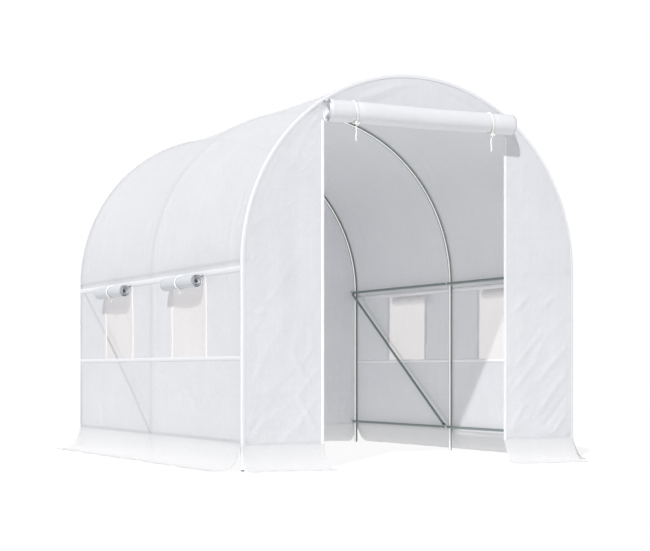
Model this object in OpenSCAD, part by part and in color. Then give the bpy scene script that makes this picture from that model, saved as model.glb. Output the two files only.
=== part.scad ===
// Walk-in polytunnel: three tubular hoops under one fabric cover, with
// a rolled-up door, four rolled-up windows and skirts that lie outward.
// X is the width, Y the length (the door faces -Y) and Z is up.
// The origin is at the middle of the plan, on the ground.

/* [Tunnel] */
// Length over the cover, front to rear
tunnel_length = 2500; // [2000:10:4000]
// Width over the cover, wall to wall
tunnel_width = 2000; // [1700:10:3000]
// Height of the straight legs, up to the springing of the arch
leg_height = 1035; // [900:5:1400]

/* [Frame] */
// Outer diameter of the hoop tubes
hoop_tube_d = 19; // [16:1:32]
// Outer diameter of the rails and the braces
rail_tube_d = 16; // [12:1:25]
// Wall of every tube
tube_wall = 1.2; // [1:0.1:2]
// Height of the waist rail's axis
waist_rail_z = 1040; // [850:5:1400]
// Height of the base rail's axis
base_rail_z = 145; // [60:5:300]
// Hole for the bolt at a brace's flattened end
bolt_hole_d = 6.5; // [5:0.5:8]
// Length of a brace's flattened end, measured from its bolt
lug_length = 32; // [25:1:45]

/* [Cover] */
// Thickness that stands for the cloth
sheet_t = 3; // [2:0.5:5]
// Thickness that stands for the insect net
net_t = 2; // [1.5:0.5:4]

/* [Door] */
// Width of the doorway between the two front panels
door_width = 1090; // [800:10:1300]
// Height of the doorway
door_height = 1780; // [1500:10:1900]
// Diameter of the rolled-up door
door_roll_d = 108; // [80:1:130]
// Length of the rolled-up door
door_roll_length = 1100; // [900:10:1400]
// Height of the door roll's axis
door_roll_z = 1812; // [1550:1:1900]
// Distance of each door tie from the middle
door_tie_x = 408; // [250:1:500]
// Shift of both door ties to the right
door_tie_shift = 10; // [-40:1:40]

/* [Windows] */
// Distance of each window's middle from the middle hoop
window_offset = 545; // [400:5:700]
// Width of a window opening
window_width = 450; // [300:10:600]
// Height of a window opening
window_height = 425; // [300:5:500]
// Height of a window's sill
window_sill_z = 568; // [300:1:700]
// Width of net sewn to the wall all round an opening
net_hem = 15; // [8:1:30]
// Diameter of a rolled-up window flap
window_roll_d = 72; // [50:1:90]
// Length of a rolled-up window flap
window_roll_length = 440; // [400:5:700]
// Height of a window roll's axis
window_roll_z = 965; // [800:1:1100]

/* [Ties] */
// Diameter of a door tie's cord
door_cord_d = 8; // [5:0.5:10]
// Diameter of a door tie's knot
door_knot_d = 20; // [14:1:26]
// Diameter of a window tie's cord
window_cord_d = 5; // [4:0.5:7]
// Diameter of a window tie's knot
window_knot_d = 10; // [8:1:16]

/* [Skirt] */
// Height of the skirt's seam above the ground
skirt_seam_z = 125; // [80:5:200]
// Distance that a skirt reaches out along the ground
skirt_reach = 150; // [100:5:300]
// Width of the hem that is sewn flat to the wall, above the seam
skirt_hem = 12; // [8:1:25]
// Corner radius of a side skirt beside the front hoop
side_corner_r = 130; // [20:5:140]
// Corner radius of a front skirt at its rounded end
front_corner_r = 70; // [10:5:140]

/* [Hidden] */
$fn = 96;
// Sides of the wide arcs of the cover
arc_fn = 288;

// Clearance where a round or soft piece lies on its neighbour
seat = 0.3;
// Smallest overlap of a cutting shape past the face that it cuts
over = 1;
// Curve of the skirt from its seam to the ground: 1 is straight
skirt_curve = 2.8;
// Stretches in the skirt's curve
skirt_steps = 12;

half_l = tunnel_length / 2;
half_w = tunnel_width / 2;
inner_r = half_w - sheet_t;
gable_r = inner_r - seat;

// Axis of the hoop tube, measured from the tunnel's middle plane
hoop_r = inner_r - seat - hoop_tube_d / 2;
end_hoop_y = half_l - sheet_t - seat - hoop_tube_d / 2;
hoop_y = [-end_hoop_y, 0, end_hoop_y];

rail_x = hoop_r - hoop_tube_d / 2 - seat - rail_tube_d / 2;
rail_half = half_l - sheet_t - over;
brace_x = rail_x - rail_tube_d - seat;
lug_t = 2 * tube_wall;
brace_rise = waist_rail_z - base_rail_z;
brace_length = norm([end_hoop_y, brace_rise]);
brace_angle = atan2(brace_rise, end_hoop_y);

door_roll_y = -half_l - seat - door_roll_d / 2;
window_roll_x = half_w + seat + window_roll_d / 2;
door_ring_r = door_roll_d / 2 + seat + door_cord_d / 2;
window_ring_r = window_roll_d / 2 + seat + window_cord_d / 2;

// The knot sits under the front of the door roll, and its tail hangs down
door_knot_drop = door_ring_r + door_knot_d / 2;
door_knot_front = 14;
tail_x = [0, 0, 0, 1, 2, 3, 3, 2, 1, 0, -1, -1, 0, 1, 2];
tail_step = 5.4;
tail_sides = 8;

steel = [0.60, 0.64, 0.63];
cloth = [0.90, 0.92, 0.95];
skirt_white = [0.96, 0.96, 0.97];
net_white = [0.95, 0.91, 0.91];
cord_white = [0.96, 0.95, 0.90];

// ---- small shapes ----

module pipe(d, length) {
    difference() {
        cylinder(d = d, h = length);
        translate([0, 0, -over]) cylinder(d = d - 2 * tube_wall, h = length + 2 * over);
    }
}

// A rail lies along Y, on the middle of its length
module rail(z) {
    color(steel)
    translate([rail_x, -rail_half, z]) rotate([-90, 0, 0]) pipe(rail_tube_d, 2 * rail_half);
}

module leg(y) {
    color(steel) translate([hoop_r, y, 0]) pipe(hoop_tube_d, leg_height);
}

// A quarter circle from the top of a leg to the crown
module arch(y) {
    color(steel)
    translate([0, y, leg_height]) rotate([90, 0, 0])
    rotate_extrude(angle = 90) translate([hoop_r, 0]) difference() {
        circle(d = hoop_tube_d);
        circle(d = hoop_tube_d - 2 * tube_wall);
    }
}

// A tube with a flattened and drilled lug at each end, flush with its outer side
module brace() {
    lug_x = rail_tube_d / 2 - lug_t;
    color(steel)
    translate([brace_x, 0, base_rail_z]) rotate([brace_angle, 0, 0]) difference() {
        union() {
            translate([0, lug_length, 0]) rotate([-90, 0, 0])
            pipe(rail_tube_d, brace_length - 2 * lug_length);
            for (start = [0, brace_length - lug_length - lug_t])
                translate([lug_x, start, -rail_tube_d / 2])
                cube([lug_t, lug_length + lug_t, rail_tube_d]);
            for (y = [0, brace_length])
                translate([lug_x, y, 0]) rotate([0, 90, 0])
                cylinder(d = rail_tube_d, h = lug_t);
        }
        for (y = [0, brace_length])
            translate([lug_x - over, y, 0]) rotate([0, 90, 0])
            cylinder(d = bolt_hole_d, h = lug_t + 2 * over);
    }
}

// ---- cover ----

module roof() {
    color(cloth)
    translate([0, 0, leg_height]) intersection() {
        rotate([90, 0, 0]) difference() {
            cylinder(r = half_w, h = tunnel_length, center = true, $fn = arc_fn);
            cylinder(r = inner_r, h = tunnel_length + 2 * over, center = true, $fn = arc_fn);
        }
        translate([-half_w - over, -half_l - over, 0])
        cube([tunnel_width + 2 * over, tunnel_length + 2 * over, half_w + over]);
    }
}

// The +X side wall, cut for two windows
module side_wall() {
    color(cloth)
    difference() {
        translate([inner_r, -half_l, 0]) cube([sheet_t, tunnel_length, leg_height]);
        for (side = [-1, 1])
            translate([inner_r - over, side * window_offset - window_width / 2, window_sill_z])
            cube([sheet_t + 2 * over, window_width, window_height]);
    }
}

// Outline of an end wall: straight sides under a half circle
module gable_outline() {
    translate([-gable_r, 0]) square([2 * gable_r, leg_height]);
    intersection() {
        translate([0, leg_height]) circle(r = gable_r, $fn = arc_fn);
        translate([-gable_r, leg_height]) square([2 * gable_r, gable_r]);
    }
}

// An end wall with its outer face at y, thickness towards +Y
module gable(y) {
    color(cloth)
    translate([0, y + sheet_t, 0]) rotate([90, 0, 0]) linear_extrude(sheet_t) intersection() {
        gable_outline();
        children();
    }
}

module panel_area() {
    translate([door_width / 2, 0]) square([half_w, leg_height + half_w]);
}

module header_area() {
    translate([-door_width / 2, door_height]) square([door_width, half_w + leg_height]);
}

module whole_area() {
    translate([-half_w, 0]) square([tunnel_width, leg_height + half_w]);
}

// ---- skirts ----

function skirt_point(u) = [skirt_reach * u, skirt_seam_z * pow(1 - u, skirt_curve)];
function skirt_slope(u) = -skirt_curve * skirt_seam_z / skirt_reach * pow(1 - u, skirt_curve - 1);
function skirt_normal(u) = [-skirt_slope(u), 1] / norm([skirt_slope(u), 1]);

// Section of a skirt: a flat hem on the wall, then a curve out to the ground
module skirt_section() {
    steps = [for (i = [0:skirt_steps]) i / skirt_steps];
    under = [for (u = steps) skirt_point(u)];
    top = [for (i = [skirt_steps:-1:0])
        skirt_point(steps[i]) + sheet_t * skirt_normal(steps[i])];
    hem_z = skirt_seam_z + skirt_hem;
    polygon(concat(under, top, [[sheet_t, hem_z], [0, hem_z]]));
}

// Plan of a skirt that runs from 0 to length and reaches out along +Y,
// with its own corner radius at each end
module skirt_plan(length, start_r, end_r) {
    difference() {
        square([length, skirt_reach]);
        translate([0, skirt_reach - start_r]) corner_waste(start_r);
        translate([length, skirt_reach - end_r]) mirror([1, 0]) corner_waste(end_r);
    }
}

module corner_waste(r) {
    difference() {
        translate([-over, 0]) square([r + over, r + over]);
        translate([r, 0]) circle(r = r);
    }
}

// Runs along +X from 0, with the wall at y = 0 and the flap towards +Y
module skirt(length, start_r, end_r) {
    color(skirt_white)
    intersection() {
        rotate([90, 0, 90]) linear_extrude(length) skirt_section();
        linear_extrude(skirt_seam_z + skirt_hem) skirt_plan(length, start_r, end_r);
    }
}

module side_skirt() {
    translate([half_w, half_l, 0]) rotate([0, 0, -90])
    skirt(tunnel_length, sheet_t, side_corner_r);
}

module front_skirt(hoop_end_r, door_end_r) {
    translate([half_w, -half_l, 0]) rotate([0, 0, 180])
    skirt(half_w - door_width / 2, hoop_end_r, door_end_r);
}

// ---- windows, door and ties ----

module window_net(y) {
    color(net_white)
    translate([inner_r - net_t, y - window_width / 2 - net_hem, window_sill_z - net_hem])
    cube([net_t, window_width + 2 * net_hem, window_height + 2 * net_hem]);
}

module window_roll(y) {
    color(cloth)
    translate([window_roll_x, y, window_roll_z]) rotate([90, 0, 0])
    cylinder(d = window_roll_d, h = window_roll_length, center = true);
}

// A cord round the free half of a roll that lies along X with its wall
// behind it, towards +Y: fixed to the wall above, drawn in below
module tie_loop(ring_r, roll_r, cord_d) {
    rotate([0, 90, 180]) rotate_extrude(angle = 180) translate([ring_r, 0]) circle(d = cord_d);
    translate([0, 0, ring_r]) rotate([-90, 0, 0]) cylinder(d = cord_d, h = roll_r + seat);
}

module window_tie(y) {
    color(cord_white)
    translate([window_roll_x, y, window_roll_z]) rotate([0, 0, 90]) union() {
        tie_loop(window_ring_r, window_roll_d / 2, window_cord_d);
        translate([0, 0, -window_ring_r - window_cord_d / 2]) sphere(d = window_knot_d);
    }
}

module window_ties() {
    for (side = [-1, 1]) window_tie(side * window_offset);
}

module door_tie(x) {
    color(cord_white)
    translate([x, door_roll_y, door_roll_z]) union() {
        tie_loop(door_ring_r, door_roll_d / 2, door_cord_d);
        translate([0, -door_knot_front, -door_knot_drop]) sphere(d = door_knot_d);
    }
}

// Rings of points along a route, each level with the ground
function tail_ring(p, d) = [for (i = [0:tail_sides - 1])
    p + d / 2 * [cos(i * 360 / tail_sides), sin(i * 360 / tail_sides), 0]];

// The cord's free end: a soft tube down the route from the knot
module door_tie_tail(x, lean) {
    top_z = door_roll_z - door_knot_drop - door_knot_d / 2 - seat;
    route = [for (i = [0:len(tail_x) - 1])
        [x + lean * tail_x[i], door_roll_y - door_knot_front, top_z - i * tail_step]];
    points = [for (p = route) for (q = tail_ring(p, door_cord_d)) q];
    last = (len(route) - 1) * tail_sides;
    sides = [for (i = [0:len(route) - 2]) for (j = [0:tail_sides - 1])
        let (k = (j + 1) % tail_sides, a = i * tail_sides, b = a + tail_sides)
        [a + j, a + k, b + k, b + j]];
    ends = [[for (j = [tail_sides - 1:-1:0]) j], [for (j = [0:tail_sides - 1]) last + j]];
    color(cord_white) polyhedron(points, concat(ends, sides));
}

module door_roll() {
    color(cloth)
    translate([0, door_roll_y, door_roll_z]) rotate([0, 90, 0])
    cylinder(d = door_roll_d, h = door_roll_length, center = true);
}

module to_left() { mirror([1, 0, 0]) children(); }

// ---- the pieces ----

to_left() leg(hoop_y[0]);  // hoop_front_leg_left
leg(hoop_y[0]);  // hoop_front_leg_right
to_left() arch(hoop_y[0]);  // hoop_front_arch_left
arch(hoop_y[0]);  // hoop_front_arch_right
to_left() leg(hoop_y[1]);  // hoop_middle_leg_left
leg(hoop_y[1]);  // hoop_middle_leg_right
to_left() arch(hoop_y[1]);  // hoop_middle_arch_left
arch(hoop_y[1]);  // hoop_middle_arch_right
to_left() leg(hoop_y[2]);  // hoop_rear_leg_left
leg(hoop_y[2]);  // hoop_rear_leg_right
to_left() arch(hoop_y[2]);  // hoop_rear_arch_left
arch(hoop_y[2]);  // hoop_rear_arch_right
to_left() rail(waist_rail_z);  // waist_rail_left
rail(waist_rail_z);  // waist_rail_right
to_left() rail(base_rail_z);  // base_rail_left
rail(base_rail_z);  // base_rail_right
to_left() brace();  // brace_left
brace();  // brace_right
roof();  // cover_roof
to_left() side_wall();  // cover_wall_left
side_wall();  // cover_wall_right
to_left() gable(-half_l) panel_area();  // front_panel_left
gable(-half_l) panel_area();  // front_panel_right
gable(-half_l) header_area();  // front_header
gable(half_l - sheet_t) whole_area();  // rear_wall
to_left() side_skirt();  // skirt_left
side_skirt();  // skirt_right
to_left() front_skirt(front_corner_r, sheet_t);  // skirt_front_left
front_skirt(sheet_t, front_corner_r);  // skirt_front_right
translate([-half_w, half_l, 0]) skirt(tunnel_width, front_corner_r, front_corner_r);  // skirt_rear
to_left() window_net(-window_offset);  // window_net_front_left
to_left() window_net(window_offset);  // window_net_rear_left
window_net(-window_offset);  // window_net_front_right
window_net(window_offset);  // window_net_rear_right
to_left() window_roll(-window_offset);  // window_roll_front_left
to_left() window_roll(window_offset);  // window_roll_rear_left
window_roll(-window_offset);  // window_roll_front_right
window_roll(window_offset);  // window_roll_rear_right
to_left() window_ties();  // window_ties_left
window_ties();  // window_ties_right
door_roll();
door_tie(door_tie_shift - door_tie_x);  // door_tie_left
door_tie(door_tie_shift + door_tie_x);  // door_tie_right
door_tie_tail(door_tie_shift - door_tie_x, 1);  // door_tie_tail_left
door_tie_tail(door_tie_shift + door_tie_x, -1);  // door_tie_tail_right
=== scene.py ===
# %% [markdown]
# # A walk-in polytunnel greenhouse
# The real tunnel is three steel hoops, four rails and two braces under one woven sheet. The steel arrives
# here ready made, as a fixed frame. This lesson makes all that is soft round it: the sheet with its seams
# and skirts, the nets, the rolled-up door and window flaps, and their ties. It could all be modelled by
# hand, but the frame knows every size already, so each piece is worked out from it in code instead.

# %% Load the frame
import math
from dataclasses import dataclass

import bpy
import numpy as np
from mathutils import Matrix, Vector, noise


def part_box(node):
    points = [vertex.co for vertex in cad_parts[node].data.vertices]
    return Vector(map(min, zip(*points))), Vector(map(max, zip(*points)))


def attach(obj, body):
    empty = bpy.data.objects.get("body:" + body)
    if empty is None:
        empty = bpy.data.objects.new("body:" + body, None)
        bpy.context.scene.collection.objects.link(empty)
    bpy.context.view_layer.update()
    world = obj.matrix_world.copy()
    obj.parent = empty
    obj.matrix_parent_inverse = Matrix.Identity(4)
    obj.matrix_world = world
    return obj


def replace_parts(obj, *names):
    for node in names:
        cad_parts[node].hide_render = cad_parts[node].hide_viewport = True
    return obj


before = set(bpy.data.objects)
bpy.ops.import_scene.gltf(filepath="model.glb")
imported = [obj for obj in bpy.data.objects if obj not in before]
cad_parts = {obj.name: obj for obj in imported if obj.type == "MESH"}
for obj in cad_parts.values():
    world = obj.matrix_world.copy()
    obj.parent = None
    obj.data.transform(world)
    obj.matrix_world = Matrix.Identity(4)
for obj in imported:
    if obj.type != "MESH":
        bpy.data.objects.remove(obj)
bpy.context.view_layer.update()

# %% [markdown]
# The sheet hangs on the hoops like a blanket on a clothes line, so a few sizes rule everything: half the
# width, half the length, the height where the legs turn into the arch, the seam of the skirts, and the
# cut-outs. They could be typed in, but reading them from the frame keeps both models the same.


# %% Measure the frame
def centre_and_size(node):
    """The middle of a node's box and its size, each as x, y and z."""
    low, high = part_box(node)
    return [(a + b) / 2 for a, b in zip(low, high)], [b - a for a, b in zip(low, high)]


def height_to_girth(z):
    """How far round from the crown a height on a side wall is."""
    return QUARTER + SPRING - z


SIDES = {"left": -1, "right": 1}
wall_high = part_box("cover_wall_right")[1]
HALF_W = wall_high.x
HALF_L = wall_high.y
SPRING = wall_high.z
QUARTER = math.pi / 2 * HALF_W
header_low, header_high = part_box("front_header")
DOOR_HALF = header_high.x
DOOR_TOP = header_low.z
HEM = 0.012
SEAM_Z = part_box("skirt_left")[1].z - HEM
REACH = -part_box("skirt_left")[0].x - HALF_W
HOOPS = {}
for place in ("front", "middle", "rear"):
    leg_centre, leg_size = centre_and_size("hoop_" + place + "_leg_right")
    HOOPS[place] = leg_centre[1]
TUBE_R = leg_size[0] / 2
HOOP_X = leg_centre[0]
NET_HEM = 0.015
windows = {}
for place in ("front", "rear"):
    low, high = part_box("window_net_" + place + "_right")
    windows[place] = (low.y + NET_HEM, high.y - NET_HEM, low.z + NET_HEM, high.z - NET_HEM)
print("half width", round(HALF_W, 3), "half length", round(HALF_L, 3), "spring", round(SPRING, 3))
print("skirt seam", round(SEAM_Z, 3), "doorway", round(2 * DOOR_HALF, 3), "by", round(DOOR_TOP, 3))

# %% [markdown]
# The view comes first, because it decides what matters. It is a low stand in front of the left corner,
# far enough away for calm perspective, with the lens shifted upwards instead of tilted, so that the legs
# stay upright in the picture.


# %% Set up the camera
def added(name, data):
    """A new object in the scene."""
    obj = bpy.data.objects.new(name, data)
    bpy.context.scene.collection.objects.link(obj)
    return obj


camera_data = bpy.data.cameras.new("camera")
camera_data.lens = 84.17  # mm
camera_data.sensor_width = 36.0
camera_data.shift_y = 0.1471
camera = added("camera", camera_data)
camera.location = (-4.067, -8.067, 0.494)
camera.rotation_euler = (math.radians(90), 0, math.radians(-27.36))
bpy.context.scene.camera = camera
bpy.context.scene.view_settings.view_transform = "Standard"
print("camera", round(camera.location.length, 2), "m from the middle of the tunnel")

# %% [markdown]
# Shaders are easier to read as sums than as wires. This small class wraps a socket, so that an expression
# such as 1 - mask * 0.5 adds the Math nodes by itself. Colours and vectors would turn grey in a Math node,
# so they are mixed in nodes of their own, which one method adds: first the settings, then the sockets.


# %% Write shaders as expressions
class Value:
    """One output socket of a material. The usual operators add Math nodes to its tree."""

    def __init__(self, tree, socket):
        self.tree = tree
        self.socket = socket

    def math(self, operation, *others):
        return Look.place(self.tree, "Math", {"operation": operation},
                          dict(enumerate((self,) + others)))

    def __add__(self, other):
        return self.math("ADD", other)

    def __sub__(self, other):
        return self.math("SUBTRACT", other)

    def __mul__(self, other):
        return self.math("MULTIPLY", other)

    def __truediv__(self, other):
        return self.math("DIVIDE", other)

    def __pow__(self, other):
        return self.math("POWER", other)

    def __rsub__(self, other):
        return self.math("MULTIPLY", -1.0).math("ADD", other)

    def __lt__(self, other):
        return self.math("LESS_THAN", other)

    def __gt__(self, other):
        return self.math("GREATER_THAN", other)

    def __abs__(self):
        return self.math("ABSOLUTE")

    def sin(self):
        return self.math("SINE")

    def fraction(self):
        return self.math("FRACT")

    def limit(self):
        """Keeps the value from 0 to 1."""
        return self.math("MAXIMUM", 0.0).math("MINIMUM", 1.0)


class Look:
    """A material under construction."""

    def __init__(self, name):
        self.material = bpy.data.materials.new(name)
        self.material.use_nodes = True
        self.tree = self.material.node_tree
        self.tree.nodes.clear()

    @staticmethod
    def place(tree, kind, settings=None, sockets=None, output=0):
        """Adds a node: its settings first, then its sockets' values or links. Returns one output."""
        node = tree.nodes.new("ShaderNode" + kind)
        for key, value in (settings or {}).items():
            setattr(node, key, value)
        for key, value in (sockets or {}).items():
            if isinstance(value, Value):
                tree.links.new(value.socket, node.inputs[key])
            else:
                node.inputs[key].default_value = value
        return Value(tree, node.outputs[output])

    def node(self, kind, settings=None, sockets=None, output=0):
        return Look.place(self.tree, kind, settings, sockets, output)

    def colours(self, factor, first, second):
        """Mixes two colours, or two outputs, by a value."""
        pair = [c if isinstance(c, Value) else (*c, 1) for c in (first, second)]
        return self.node("Mix", {"data_type": "RGBA"}, {0: factor, 6: pair[0], 7: pair[1]}, 2)

    def place_on(self, layer=None):
        """The cloth's own flat coordinates in metres, or the place in the frame, as x, y and z."""
        if layer:
            spot = self.node("UVMap", {"uv_map": layer})
        else:
            spot = self.node("TexCoord", None, None, "Object")
        return self.axes(spot) + [spot]

    def axes(self, vector):
        return [self.node("SeparateXYZ", None, {0: vector}, axis) for axis in range(3)]

    def clouds(self, spot, scale, detail=2.0, stretch=None):
        """Soft noise from 0 to 1, optionally stretched."""
        if stretch:
            spot = self.node("VectorMath", {"operation": "MULTIPLY"}, {0: spot, 1: stretch})
        return self.node("TexNoise", {"noise_dimensions": "3D"},
                         {"Vector": spot, "Scale": scale, "Detail": detail})

    def bump(self, height, distance, strength=1.0, under=None):
        """A Bump node, which may lie on another one."""
        sockets = {"Height": height, "Distance": distance, "Strength": strength}
        if under:
            sockets["Normal"] = under
        return self.node("Bump", None, sockets)

    def surface(self, colour, roughness, normal, others=None):
        """The Principled surface. others are more of its sockets."""
        return self.node("BsdfPrincipled", None, {
            "Base Color": colour, "Roughness": roughness, "Normal": normal, **(others or {})})

    def blend(self, shader, other, share):
        """Mixes two shaders, with a share of the other one."""
        return self.node("MixShader", None, {0: share, 1: shader, 2: other})

    def opened(self, shader, openness):
        """Lets a share of the light straight through, as between threads."""
        return self.blend(shader, self.node("BsdfTransparent"), openness)

    def finish(self, shader):
        self.tree.links.new(shader.socket, self.tree.nodes.new("ShaderNodeOutputMaterial").inputs[0])
        print("finish", self.material.name, "with", len(self.tree.nodes), "nodes")
        return self.material


print("operators ready")

# %% [markdown]
# The sheet is woven from flat plastic tapes about 2.5 mm wide and coated on both sides. Seen close, it is
# a tiny basket weave with a stronger thread every 16 mm; seen from afar, it is milky, a little bluish, and
# lets a soft half of the light through. A surface shader alone would be opaque, and glass would be clear,
# so a diffuse surface is mixed with a translucent one, and a few parts in a hundred are left open. Grey
# painted shadows of the steel are drawn on the long sheet where the frame has its rails, hoops and braces.
# The rear wall gets a darker, less translucent copy of the cloth as painted shade, and the skirts are
# painted paler towards their free edge, where they lie flat, as painted light.


# %% Make the woven sheets
WEAVE = 0.0025
SCRIM = 0.016
SCRIM_W = 0.0012
# half the width and the strength of the painted shadows of the steel
RAIL_HALF = 0.006
BRACE_HALF = 0.009
RAIL_SHADE = 0.36
HOOP_SHADE = 0.12
BRACE_SHADE = 0.50


def weave(u, v, pitch=WEAVE):
    """Height of flat tapes that pass over and under each other, from 0 to 1."""
    wave_u = (u * (math.pi / pitch)).sin()
    wave_v = (v * (math.pi / pitch)).sin()
    over = wave_u * wave_v > 0.0
    return over * abs(wave_u) ** 0.5 + (1 - over) * abs(wave_v) ** 0.5


def threads(u, v, spacing, width):
    """1 on the stronger threads, which cross in squares, and 0 between them."""
    across = abs((u / spacing).fraction() - 0.5) < width / spacing / 2
    along = abs((v / spacing).fraction() - 0.5) < width / spacing / 2
    return across.math("MAXIMUM", along)


def woven_sheet(name, pale, deep, glow, share, gaps=0.0, painted_sky_light=None, shade=None):
    """Coated woven sheet. glow is what shines through it, share is how much, gaps is how open it is.

    The argument before shade is painted light: a paler colour and the two distances from the seam between
    which it takes over, where a skirt lies flat. shade is the painted shadow of the steel behind the sheet,
    from 0 to 1."""
    look = Look(name)
    u, v, _, spot = look.place_on("cloth")
    mesh_height = weave(u, v)
    scrim = threads(u, v, SCRIM, SCRIM_W)
    drift = look.clouds(spot, 2.3, 3.0)
    leaning = look.node("CombineXYZ", None, {0: u + v, 1: (u - v) * 2.4, 2: 0.0})
    folds = abs(look.clouds(leaning, 7.0, 3.0) - 0.5) + abs(look.clouds(spot, 11.0, 3.0) - 0.5) * 0.6
    upright = look.clouds(spot, 1.0, 3.0, (48.0, 3.0, 1.0))
    level = look.clouds(spot, 1.0, 3.0, (3.0, 60.0, 1.0))
    tone = (drift * 0.75 + scrim * 0.03 + upright * 0.6 + level * 0.4 - 0.38).limit()
    colour = look.colours(tone, deep, pale)
    # painted shadows of the steel darken the colour where it lies behind the sheet
    if shade:
        colour = look.colours(shade(u, v), colour, tuple(c * 0.72 for c in deep))
    # painted light: the colour turns paler from one distance to the next, where a skirt lies flat and faces
    # the sky
    if painted_sky_light:
        white, start, end = painted_sky_light
        colour = look.colours(((v - start) * (1 / (end - start))).limit(), colour, white)
    fine = look.bump(mesh_height + scrim * 0.15, 0.0002, 0.5)
    normal = look.bump(folds, 0.006, 0.6, fine)
    through = look.node("BsdfTranslucent", None, {"Color": (*glow, 1), "Normal": normal})
    shader = look.blend(look.surface(colour, drift * 0.12 + 0.39, normal), through, share)
    if gaps:
        shader = look.opened(shader, (1.0 - mesh_height * 0.5 - scrim * 0.15).limit() * (1.5 * gaps))
    return look.finish(shader)


def band(distance, half, soft=0.006):
    """1 within half a width of a line, fading to 0."""
    return ((half - abs(distance)) * (1 / soft) + 1.0).limit()


def painted_steel_shadows(u, v):
    """Painted shadows of the rails, hoops and braces, from 0 to 1, in the long sheet's flat coordinates."""
    girth = abs(v)
    waist_g = height_to_girth(centre_and_size("waist_rail_right")[0][2])
    base_g = height_to_girth(centre_and_size("base_rail_right")[0][2])
    rails = band(girth - waist_g, RAIL_HALF).math("MAXIMUM", band(girth - base_g, RAIL_HALF))
    hoops = band(u, RAIL_HALF).math("MAXIMUM", band(abs(u) - HOOPS["rear"], RAIL_HALF))
    run, drop = HOOPS["rear"], base_g - waist_g
    length = math.hypot(run, drop)
    away = u * (drop / length) + (girth - base_g) * (run / length)
    brace = band(away, BRACE_HALF) * (u > 0.0) * (girth > waist_g) * (girth < base_g)
    return (rails * RAIL_SHADE + hoops * HOOP_SHADE + brace * BRACE_SHADE).limit()


cover_cloth = woven_sheet("cover cloth", (0.83, 0.84, 0.875), (0.725, 0.735, 0.77),
                          glow=(0.75, 0.76, 0.78), share=0.21, gaps=0.08)
canopy_cloth = woven_sheet("canopy cloth", (0.82, 0.825, 0.855), (0.71, 0.715, 0.745),
                           glow=(0.75, 0.76, 0.78), share=0.21, gaps=0.08, shade=painted_steel_shadows)
# a darker, less translucent copy of the cover cloth: painted shade for the rear wall
shaded_rear_cloth = woven_sheet("shaded rear cloth", (0.81, 0.82, 0.85), (0.70, 0.71, 0.74),
                         glow=(0.70, 0.71, 0.73), share=0.10, gaps=0.04)
# the skirt's flat free part is painted paler, as painted light
skirt_cloth = woven_sheet("skirt cloth", (0.80, 0.805, 0.82), (0.73, 0.735, 0.75),
                          glow=(0.80, 0.80, 0.82), share=0.24, gaps=0.06,
                          painted_sky_light=((0.79, 0.79, 0.80), 0.05, 0.11))
door_cloth = woven_sheet("rolled door cloth", (0.85, 0.86, 0.89), (0.77, 0.78, 0.81),
                         glow=(0.75, 0.76, 0.78), share=0.12)
flap_cloth = woven_sheet("rolled flap cloth", (0.76, 0.785, 0.825), (0.64, 0.66, 0.69),
                         glow=(0.80, 0.81, 0.83), share=0.16)

# %% [markdown]
# Seams are covered with white webbing, a ribbed tape that two rows of stitches hold. The ribs and the
# stitches are only tenths of a millimetre high, so a bump can carry them, with the thread a touch paler.


# %% Make the webbing
# the rows as shares of the tape's half width, and the sewn share of each stitch's pitch
STITCH_ROW = 0.68
STITCH_HALF = 0.09
STITCH_SHARE = 0.72


def webbing(name, pale, deep, rib=0.0016, stitch=0.0045):
    look = Look(name)
    u, v, _, spot = look.place_on("cloth")
    ribs = (u * (2 * math.pi / rib)).sin() * 0.5 + 0.5
    row = abs(abs(v) - STITCH_ROW) < STITCH_HALF
    dash = (u / stitch).fraction() < STITCH_SHARE
    thread = row * dash
    wear = look.clouds(spot, 40.0, 3.0)
    colour = look.colours((thread * 0.6 + wear * 0.4).math("MINIMUM", 1.0), deep, pale)
    height = ribs * 0.25 + thread - row * 0.5
    return look.finish(look.surface(colour, wear * 0.2 + 0.5, look.bump(height, 0.0004, 0.6)))


tape_cloth = webbing("white webbing", (0.79, 0.80, 0.83), (0.73, 0.74, 0.77))
# a paler copy of the same webbing: painted light for the tapes inside and at the doorway's edges
painted_bright_tape = webbing("painted bright webbing", (0.96, 0.96, 0.97), (0.92, 0.92, 0.93))
border_tape = webbing("net border webbing", (0.87, 0.84, 0.85), (0.82, 0.785, 0.795))
skirt_tape = webbing("skirt hem webbing", (0.78, 0.78, 0.78), (0.73, 0.73, 0.73))

# %% [markdown]
# The window nets keep insects out: thin white threads with square holes. Real holes at this scale would
# need millions of faces, so the threads are drawn by the opening of the surface, and they are raised a
# little by a bump. The nets also glow faintly by themselves, which is painted light, and the painted
# shadows of the steel behind them are darker here than on the sheet.


# %% Make the insect net
NET_SPACING = 0.0018
NET_THREAD = 0.0007
NET_CLEARNESS = 0.46
# the net's own faint glow: painted light
NET_GLOW = 0.11
NET_PAINTED_SHADOW = (0.42, 0.42, 0.42)


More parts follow.
